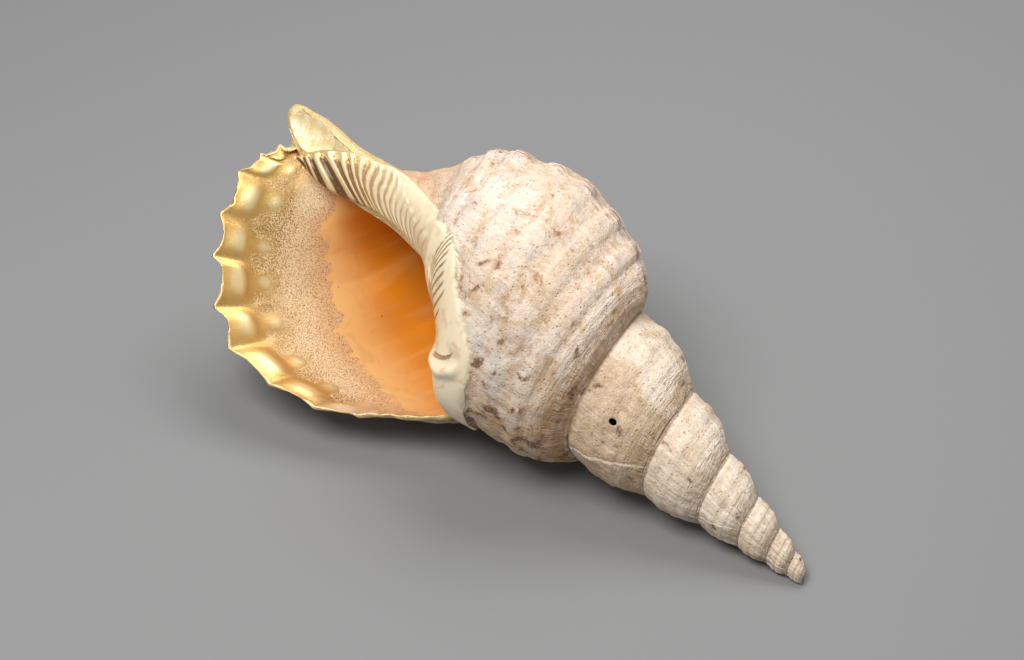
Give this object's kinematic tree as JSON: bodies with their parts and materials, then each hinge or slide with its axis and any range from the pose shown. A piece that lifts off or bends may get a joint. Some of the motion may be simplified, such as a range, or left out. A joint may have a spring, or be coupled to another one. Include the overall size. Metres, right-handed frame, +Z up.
{
  "type": "triton shell",
  "caption": "Large right-coiled sea snail shell lying on its back with its wide flared mouth up, a tall pointed spire and a short canal.",
  "frame": {"origin": "centre of the footprint on the surface that the shell lies on", "axes": "+X from the apex towards the canal end along the shell's length, +Y to the side that the mouth leans to, +Z up"},
  "size_m": [0.3692, 0.1834, 0.1497],
  "materials": {
    "shell": "chalky worn outside, smooth inside, gold painted lip"
  },
  "bodies": {
    "root": {"shell": "shell"}
  },
  "joints": []
}
